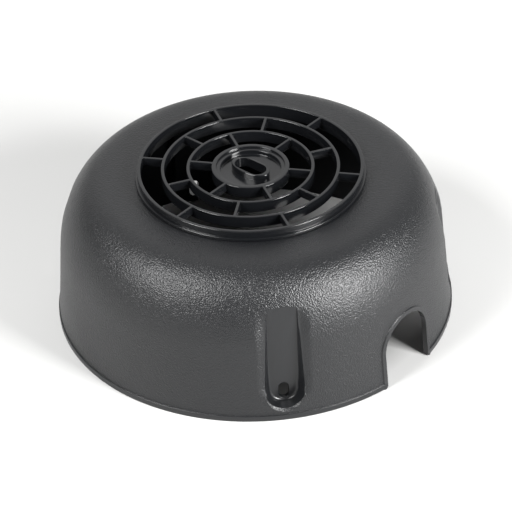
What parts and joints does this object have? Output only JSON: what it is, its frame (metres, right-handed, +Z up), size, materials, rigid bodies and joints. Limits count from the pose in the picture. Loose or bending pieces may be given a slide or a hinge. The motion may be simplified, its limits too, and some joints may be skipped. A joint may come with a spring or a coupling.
{
  "type": "motor fan cowl",
  "caption": "Domed plastic fan cowl for an electric motor, with a round spoked air grille in its crown, a cable arch and side screw pockets",
  "frame": {"origin": "centre of the open bottom edge, on the plane the cowl stands on", "axes": "+Z up through the grille, the dome's axis; the cable arch faces -Y; +X to the right seen from the arch"},
  "size_m": [0.2, 0.1989, 0.0817],
  "materials": {
    "grained_plastic": "spark-eroded grain, injection moulded",
    "smooth_plastic": "smooth semi-gloss, injection moulded"
  },
  "bodies": {
    "root": {"cowl_shell": "grained_plastic", "grille_insert": "smooth_plastic"}
  },
  "joints": []
}
